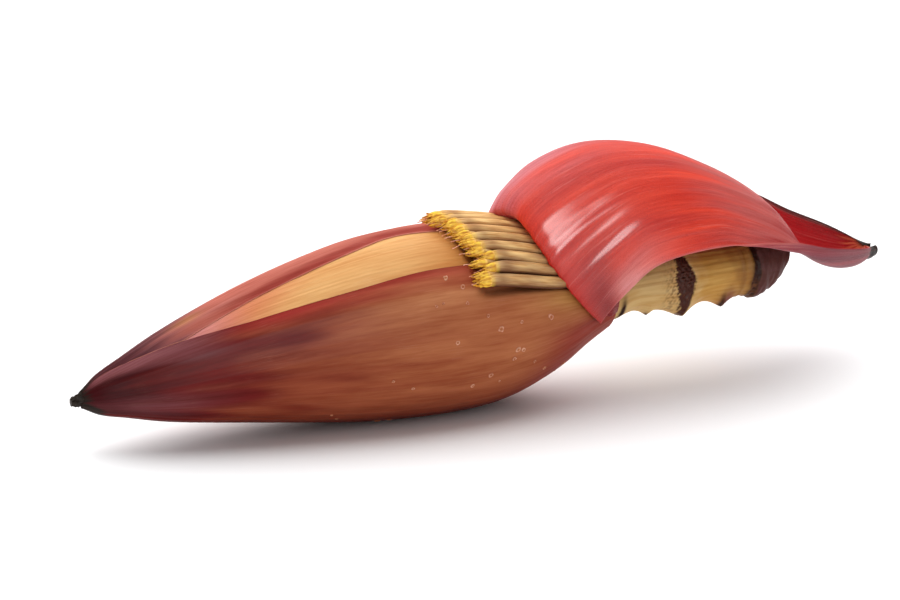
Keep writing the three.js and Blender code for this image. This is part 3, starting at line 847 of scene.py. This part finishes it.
# Each scar: x, angle round the stalk, height, half length along x and half width in degrees.
STALK_SCARS = [
    (73, 118, 1.2, 3, 26), (87, 162, 2.4, 2.4, 24), (102, 152, 5.4, 6.2, 46),
    (122.6, 166, 4.6, 5.0, 28), (136, 170, 1.6, 3.2, 60), (100, 20, 1.2, 5, 60), (84, -110, 2, 4, 40),
    (112, -95, 2.6, 5, 44),
]
# The bare scar is a lozenge: where its two edges lie along x and how far round the stalk, and how much
# each has closed in at SCAR_REACH degrees from there.
SCAR_START, SCAR_START_MIDDLE, SCAR_START_CLOSING = 96.6, 80, 3.4
SCAR_END, SCAR_END_MIDDLE, SCAR_END_CLOSING = 106.5, 82, 5.0
SCAR_REACH = 80
SCAR_SUNK = 0.35
CORK_GRIT = 0.28
CRACK_DEPTH = 0.9
STUB_WRINKLES = 0.22
END_SLANT = 4
STALK_ROWS = 260
STALK_COLUMNS = 180
STALK_CREAM = (218, 184, 124)
STALK_GOLD = (206, 160, 84)
STALK_TAN = (138, 88, 44)
CORK_DARK = (48, 20, 12)
SCAR_BROWN = (78, 40, 30)
CORK = (110, 70, 44)
END_PURPLE = (92, 54, 52)
SPUR_PINK = (132, 78, 66)
STALK_STREAK = (238, 222, 200)
STALK_FLECK = (104, 66, 38)


def stalk_rings():
    """Rings along the stem: the radius follows STALK_RADIUS with a bell for every scar, low ribs, corky
    roughness on the scars, a crack before the collar's end, and a slanted last face."""
    along = STALK_START_X + (STALK_END_X - STALK_START_X) * np.linspace(0, 1, STALK_ROWS)
    round_share = np.linspace(0, 1, STALK_COLUMNS, endpoint=False)
    x, angle = np.meshgrid(along, 360 * round_share, indexing="ij")
    turn = np.radians(angle)
    radius = course(STALK_RADIUS, x)
    for at, toward, height, length, width in STALK_SCARS:
        bell = np.exp(-np.abs((x - at) / length) ** 1.25 - (apart(angle, toward) / width) ** 2)
        radius = radius + height * bell
    around = np.stack([x, 11 * np.cos(turn), 11 * np.sin(turn)], -1)
    warp = ripple(around, 7, seed=41)
    grit = ripple(around, 1.4, seed=42)
    scar_low = SCAR_START + SCAR_START_CLOSING * np.abs(apart(angle, SCAR_START_MIDDLE)) / SCAR_REACH
    scar_high = SCAR_END - SCAR_END_CLOSING * np.abs(apart(angle, SCAR_END_MIDDLE)) / SCAR_REACH
    big = rise(x + 0.7 * grit, scar_low - 0.8, scar_low + 0.8)
    big = big * (1 - rise(x + 0.4 * grit, scar_high - 0.5, scar_high + 0.5))
    fringe = hump(x, 95.2, 3.0) * hump(angle, 105, 60) * rise(grit, -0.6, 0.9)
    mark = hump(x + 0.02 * (angle - 120), 72.4, 1.2) * hump(angle, 122, 26)
    crack = hump(x + 0.2 * warp, 135.4 + 0.5 * np.cos(turn), 1.9)
    spur = hump(x, 123.6, 3.6) * hump(apart(angle, 152), 0, 26)
    spur_dark = hump(x, 121.6, 1.1) * hump(apart(angle, 158), 0, 24)
    thorn = hump(x, 87, 1.3) * hump(angle, 162, 9)
    stub = rise(x + 0.3 * warp, 136.2, 137.2)
    corky = np.clip(big + 0.6 * fringe + 0.8 * mark + 0.6 * crack, 0, 1)
    ribs = 0.08 * np.cos(17 * turn + 0.4 * warp) + 0.05 * np.cos(31 * turn)
    ring = 0.25 * hump(x, 129.8, 0.7) + 0.2 * hump(x, 133.2, 0.6)
    radius = radius + ribs * (1 - stub) - SCAR_SUNK * big + CORK_GRIT * grit * corky
    radius = radius - CRACK_DEPTH * crack + ring
    radius = radius + STUB_WRINKLES * ripple(around / (1, 3, 3), 2.6, seed=43) * stub
    slant = END_SLANT * rise(x, 144, STALK_END_X) * np.cos(turn)
    height = course(AXIS_HEIGHT, x) + STALK_RISE * rise(x, BUD_NECK_X, 82) + radius * np.cos(turn)
    rings = np.stack([x + slant, -radius * np.sin(turn), height], -1)
    skin = lay(tone(STALK_CREAM), tone(STALK_GOLD), rise(x + 2 * warp, 103, 112))
    skin = lay(skin, tone(STALK_TAN), rise(x + 2 * warp, 120, 130) * 0.55)
    skin = lay(skin, tone(CORK), 0.3 * hump(x, 129.4, 1.1) + 0.4 * fringe * 1.6)
    skin = lay(skin, tone(SPUR_PINK), spur * 1.1)
    skin = lay(skin, tone(CORK_DARK), np.clip(spur_dark + mark * 1.4 + crack * 1.6 + thorn, 0, 1))
    fibrous = crack * rise(angle, 92, 122) * (0.6 + 0.4 * grit)
    skin = lay(skin, tone(CORK), fibrous * (1 - rise(angle, 250, 260)))
    skin = lay(skin, tone(SCAR_BROWN), big)
    skin = lay(skin, tone(CORK), big * rise(grit, 0.6, 1.3) * 0.3)
    skin = lay(skin, tone(END_PURPLE), stub)
    fibre = np.stack([x, 11 * np.cos(turn), 11 * np.sin(turn)], -1)
    return rings, skin, fibre


def stalk_finish():
    """Fresh cut stem: soft lengthwise streaks, small brown flecks, fairly dull."""
    finish = Finish("stalk", Specular_IOR_Level=0.12)
    place = finish.attribute("fibre", "Vector")
    streaks = finish.noise(place, (0.05, 0.55, 0.55), 4.0, 0.6)
    fine = finish.noise(place, (0.3, 2.4, 2.4), 3.0, 0.6)
    fleck = finish.noise(place, (0.45, 0.8, 0.8), 4.0, 0.7)
    painted = finish.attribute("skin", "Color")
    darker = finish.mix(1.0, painted, shade(STALK_STREAK), "MULTIPLY")
    lined = finish.mix(finish.between(streaks, 0.35, 0.65) * 0.8 + fine * 0.2, darker, painted)
    specks = finish.between(fleck, 0.66, 0.74) * 0.6
    finish.feed(finish.shader, {
        "Base Color": finish.mix(specks, lined, shade(STALK_FLECK)),
        "Roughness": streaks * 0.2 + 0.42,
        "Normal": finish.relief(fine + streaks, 0.15, 0.0003),
    })
    return finish.material


grown("stem", [stalk_rings()], stalk_finish(), "stalk")

# ---- The lifted bract ----
# The bract that covered the florets, rolled back from its hinge on the neck into a hood with a
# boat-shaped tip. What faces up is its inside, glossy scarlet; its outside is a dull purple pink.
CUFF_ROWS = 270
CUFF_COLUMNS = 160
CUFF_THICKNESS = 2.2
CUFF_RIM = 0.9
CUFF_LEAN = 2
CAP_FILLING = 2.6
CAP_SWELLING = 0.9
CREASE_THINNING = 0.8
CUFF_SKEW = 9
FOLD_STATION = 0.215
# How far the far side of the fold is pushed back along x, and how far it sags.
FAR_TUCK = 11
FAR_SAG = 4.5
LEAST_ARCH = 0.3
# About how far the midrib lies from a border, and over what distance the rim there is rounded.
CUFF_HALF_WIDTH = 45.0
RIM_ROUNDING = 0.7
RIM_CROWDING = 0.72
PLEAT_DEPTH = 0.55
VEIN_DEPTH = 0.09
MOST_RELIEF = 0.35
# How far s and t are stretched before the veins' ripples are laid on them, and for the fibre coordinates.
VEINS_ALONG = 3
VEINS_ACROSS = 50
FIBRE_LENGTH = 230
FIBRE_HALF_WIDTH = 50
# Along the midrib: its x and z, then x, y and z of the border beside it, and how much higher the far
# border lies than that, and the near one lower.
CUFF_STATIONS = [
    (0, 66.5, 55.5, 67, 14.5, 35.0, 0), (0.06, 57, 64, 64, 16.6, 34.6, 0),
    (0.12, 43, 72, 62.6, 16.0, 34.5, 0), (0.18, 29.5, 76.8, 60.2, 18.0, 34.2, 0),
    (0.215, 24, 81, 56.5, 22.2, 33.2, 0), (0.25, 27, 88.5, 59, 22.7, 36.5, 0),
    (0.33, 41, 97.3, 65, 28.5, 46.5, 0), (0.44, 63, 102.8, 75, 35.5, 57, -1.5),
    (0.56, 90, 99.4, 95, 38, 62.2, -1.2), (0.68, 118, 87.8, 120, 37, 66, 2.4),
    (0.76, 137, 76.6, 138, 34.2, 66, 4.5), (0.8, 145, 69, 147, 32, 64.5, 5.3),
    (0.85, 154, 56, 158, 29, 61, 5), (0.9, 167, 46, 171, 24, 56, 3.1),
    (0.95, 184, 41.3, 186, 14.5, 50.8, 1.6), (1, 198.4, 43.6, 198.2, 0.8, 45, 0),
]
# How deep the near border's lip dips before it turns up, and how far across that is, along the midrib.
LIP = [
    (0, 0, -0.95), (0.6, 0, -0.95), (0.68, 3, -0.93), (0.76, 5.6, -0.9), (0.8, 5.6, -0.86),
    (0.85, 4.8, -0.8), (0.9, 3, -0.68), (0.95, 1, -0.5), (1, 0, -0.5),
]
SCARLET = (246, 76, 48)
SCARLET_DEEP = (212, 44, 32)
DULL_ROSE = (202, 104, 100)
LILAC_AND_REFLECTION = (222, 140, 152)
CRIMSON = (176, 0, 14)
BOAT_ORANGE = (226, 120, 80)
OUTER_MAUVE = (128, 68, 80)
OUTER_PINK = (176, 74, 82)
CORNER_RED = (150, 40, 44)
BORDER_PALE_AND_HIGHLIGHT = (240, 172, 170)
ROLLED_EDGE = (206, 52, 40)
RIM_PALE = (214, 132, 126)
RIM_GREY = (84, 44, 42)
VEIN_STREAK = (222, 160, 156)
COMBED_PINK = (242, 150, 140)
SPECK_DARK = (104, 22, 26)


def cuff_point(s, t):
    """Points of the rolled bract: s along the midrib, and t across it, -1 on the near border and 1 on
    the far one. Across, it is an arc that falls or climbs from the midrib to the border. The fold is
    skewed, the near border's lip dips by LIP, and the fold's far side is tucked back and sags."""
    x, z, border_x, border_y, border_z, roll = np.moveaxis(course(CUFF_STATIONS, s), -1, 0)
    drop = z - border_z
    arch = np.maximum(2 * np.arctan2(np.abs(drop), border_y), LEAST_ARCH)
    side = np.abs(t)
    y = border_y * np.sin(arch * side) / np.sin(arch)
    down = drop * (1 - np.cos(arch * side)) / (1 - np.cos(arch))
    skew = CUFF_SKEW * hump(s, FOLD_STATION, 0.1) * t * (1 - t * t) ** 2
    dip, dip_at = np.moveaxis(course(LIP, s), -1, 0)
    turned = np.sin(np.clip((t + 1) / (dip_at + 1), 0, 1) * np.pi / 2)
    turned = turned * (1 - rise(t, dip_at, dip_at + 0.5))
    tuck = hump(s, 0.15, 0.07) * rise(t, -0.22, 0.1) * (1 - rise(t, 0.6, 1))
    x = x + (border_x - x) * side ** CUFF_LEAN + skew - FAR_TUCK * tuck
    down = down + FAR_SAG * hump(s, 0.19, 0.08) * rise(t, -0.1, 0.25) * (1 - rise(t, 0.6, 1))
    return np.stack([x, y * np.sign(t), z - down + roll * t - dip * turned], -1)


def cuff_normal(s, t):
    """Unit normals on the upper side, from differences of neighbouring points."""
    step = 1e-3
    along = cuff_point(np.minimum(s + step, 1), t) - cuff_point(np.maximum(s - step, 0), t)
    across = cuff_point(s, np.minimum(t + step, 1)) - cuff_point(s, np.maximum(t - step, -1))
    normal = np.cross(along, across)
    return normal / np.linalg.norm(normal, axis=-1, keepdims=True)


def cuff_loop():
    """Rings across the bract, upper face out and lower face back, meeting in a rounded rim: half the
    thickness either way from the middle. It is thinner at the crease and its rims, and filled at the
    tip. Pleats run along it, deepest beside the fold. Also s, t, and 1 on the upper face for each point."""
    share = np.linspace(0, 1, CUFF_COLUMNS)
    spread = share - RIM_CROWDING * np.sin(2 * np.pi * share) / (2 * np.pi)
    s, t = np.meshgrid(np.linspace(0, 1, CUFF_ROWS), 2 * spread - 1, indexing="ij")
    up = cuff_normal(s, t)
    rim = 1 - np.abs(t)
    rounding = np.sqrt(1 - (1 - np.clip(rim * CUFF_HALF_WIDTH / RIM_ROUNDING, 0, 1)) ** 2)
    wall = CUFF_THICKNESS + (CUFF_RIM - CUFF_THICKNESS) * t ** 4
    wall = wall * (1 - CREASE_THINNING * hump(s, FOLD_STATION, 0.07) * rise(np.abs(t), 0.3, 0.75))
    wall = wall + CAP_SWELLING * rise(s, 0.976, 0.99)
    filling = CAP_FILLING * rise(s, 0.965, 0.985)
    body = wall + filling
    veins = np.stack([s * VEINS_ALONG, t * VEINS_ACROSS], -1)
    pleats = hump(s, 0.3, 0.13) * rise(np.abs(t), 0.1, 0.5) * (1 + ripple(veins, 5.5, seed=51))
    fine = (0.4 + 0.6 * hump(s, 0.27, 0.15)) * (1 + ripple(veins, 3.0, seed=52))
    relief = np.minimum(PLEAT_DEPTH * pleats + VEIN_DEPTH * fine, MOST_RELIEF * body)
    middle = cuff_point(s, t) + up * ((filling - wall) / 2)[..., None]
    top = middle + up * (rounding * (body / 2 - relief))[..., None]
    bottom = middle - up * (rounding * (body / 2 + 0.3 * relief))[..., None]
    loop = np.concatenate([top, bottom[:, -2:0:-1]], 1)
    s, t = (np.concatenate([value, value[:, -2:0:-1]], 1) for value in (s, t))
    upper = np.concatenate([np.ones_like(rim), np.zeros_like(rim[:, -2:0:-1])], 1)
    return loop, s, t, upper


loop, s, t, upper = cuff_loop()
veins = ripple(np.stack([s * 2.2, t * 9], -1), 1.0, seed=61)
clouds = ripple(np.stack([s * 3.4, t * 15], -1), 1.0, seed=62)
top_skin = lay(tone(SCARLET), tone(SCARLET_DEEP), 0.4 + 0.3 * veins + 0.15 * clouds)
top_skin = lay(top_skin, tone(SCARLET_DEEP), hump(s, 0.2, 0.11) * rise(-t, 0.3, 0.8))
top_skin = lay(top_skin, tone(CORNER_RED), hump(s, 0.265 + 0.1 * (1 + t), 0.05) * rise(-t, 0.5, 0.9) * 0.8)
top_skin = lay(top_skin, tone(ROLLED_EDGE), (1 - rise(s, 0.2, 0.24)) * rise(-t, 0.2, 0.7))
top_skin = lay(top_skin, tone(DULL_ROSE), rise(s + 0.03 * clouds + 0.03 * veins, 0.5, 0.76))
top_skin = lay(top_skin, tone(DULL_ROSE), rise(t + 0.07 * veins, -0.4, 0.5) * 0.62)
stripes = ripple(np.stack([s * VEINS_ALONG, t * VEINS_ACROSS], -1), 2.4, seed=63)
# A painted reflection: pale lilac over the red inner face on the fold's far side, which faces down towards
# the pale tabletop.
fold_reflection = rise(t + 0.1 * veins, -0.3, 0.12) * (1 - rise(s, 0.33, 0.5))
top_skin = lay(top_skin, tone(LILAC_AND_REFLECTION), fold_reflection * (0.6 + 0.3 * stripes))
# Paler along the near border: partly the bract's own paler edge, partly a painted highlight along it.
pale_border_and_highlight = rise(-t + 0.04 * veins, 0.78, 0.97) * rise(s, 0.27, 0.34) * (1 - rise(s, 0.36, 0.52))
top_skin = lay(top_skin, tone(BORDER_PALE_AND_HIGHLIGHT), pale_border_and_highlight * 0.75)
top_skin = lay(top_skin, tone(CRIMSON), rise(s + 0.03 * veins + 0.022 * stripes, 0.73, 0.87))
top_skin = lay(top_skin, tone(BOAT_ORANGE), rise(s + 0.008 * veins, 0.962, 0.99))
low_skin = lay(tone(OUTER_PINK), tone(OUTER_MAUVE), rise(s + 0.04 * clouds, 0.62, 0.82) * (0.8 + 0.2 * veins))
# The outer face by the fold is lilac of its own.
low_skin = lay(low_skin, lay(tone(CORNER_RED), tone(LILAC_AND_REFLECTION), rise(t, -0.1, 0.2)), 1 - rise(s, 0.28, 0.42))
low_skin = lay(low_skin, tone(SCARLET_DEEP), hump(s, 0.2, 0.05) * rise(-t, 0.4, 0.7))
skin = lay(low_skin, top_skin, upper)
rim = 1 - np.abs(t)
pale_rim = (1 - rise(rim, 0.004, 0.02)) * rise(s, 0.32, 0.4) * (1 - rise(s, 0.72, 0.82))
skin = lay(skin, tone(RIM_PALE), pale_rim * 0.7)
grey_rim = (1 - rise(rim + 0.02 * veins, 0.02, 0.09)) * rise(s, 0.78, 0.85) * rise(t, -0.5, 0.4)
skin = lay(skin, tone(RIM_GREY), grey_rim)
skin = lay(skin, tone(WITHERED), rise(s + 0.003 * veins + 0.014 * (1 - upper), 0.984, 0.99))
# How wet the skin shines: most on the fold's near side, least beyond it, in the boat and underneath.
wet = 0.15 + 0.85 * upper * rise(s, 0.2, 0.25)
wet = wet * (1 - rise(t, -0.15, 0.35) * 0.85)
wet = wet * (1 - rise(s, 0.38, 0.6) * 0.85) * (1 - rise(s, 0.77, 0.82) * 0.8)
fibre = np.stack([s * FIBRE_LENGTH, t * FIBRE_HALF_WIDTH, wet], -1)


def lifted_finish():
    """The same waxy skin turned inside out: a wet coat, as strong as the fibre coordinates' third part
    says, over fine veins that run lengthwise, a slight orange peel and tiny dark specks."""
    finish = Finish("lifted bract", Coat_Roughness=0.28, Specular_IOR_Level=0.1)
    place = finish.attribute("fibre", "Vector")
    wet = finish.node("ShaderNodeSeparateXYZ", sockets={"Vector": place}, output="Z")
    broad = finish.noise(place, (0.02, 0.3, 0.0), 4.0, 0.6)
    fine = finish.noise(place, (0.03, 1.3, 0.0), 3.0, 0.65)
    hair = finish.noise(place, (0.09, 4.0, 0.0), 2.0, 0.6)
    pores = finish.noise(place, (1.3, 1.3, 0.0), 2.0, 0.5)
    lines = finish.between(broad, 0.35, 0.66) * 0.4 + finish.between(fine, 0.34, 0.68) * 0.4 + hair * 0.3
    painted = finish.attribute("skin", "Color")
    deep = finish.mix(1.0, painted, shade(VEIN_STREAK), "MULTIPLY")
    veined = finish.mix(lines * 0.9, deep, painted)
    peel = finish.noise(place, (1.5, 1.7, 0.0), 3.0, 0.6)
    combed = finish.noise(place, (0.02, 0.9, 0.0), 3.0, 0.7)
    pale = finish.between(combed, 0.56, 0.72) * 0.3
    specks = finish.between(pores, 0.7, 0.78) * 0.6
    combed_skin = finish.mix(pale, veined, shade(COMBED_PINK))
    bumps = fine * 0.6 + combed * 0.4 + peel * 0.8 + pores * 0.4
    finish.feed(finish.shader, {
        "Base Color": finish.mix(specks, combed_skin, shade(SPECK_DARK)),
        "Roughness": hair * 0.14 + broad * 0.1 + 0.3,
        "Coat Weight": wet * (finish.between(broad, 0.1, 0.7) * 0.35 + 0.5),
        "Normal": finish.relief(bumps, 0.8, 0.0006),
    })
    return finish.material


grown("lifted_hood", [(loop, skin, fibre)], lifted_finish(), "lifted_bract")
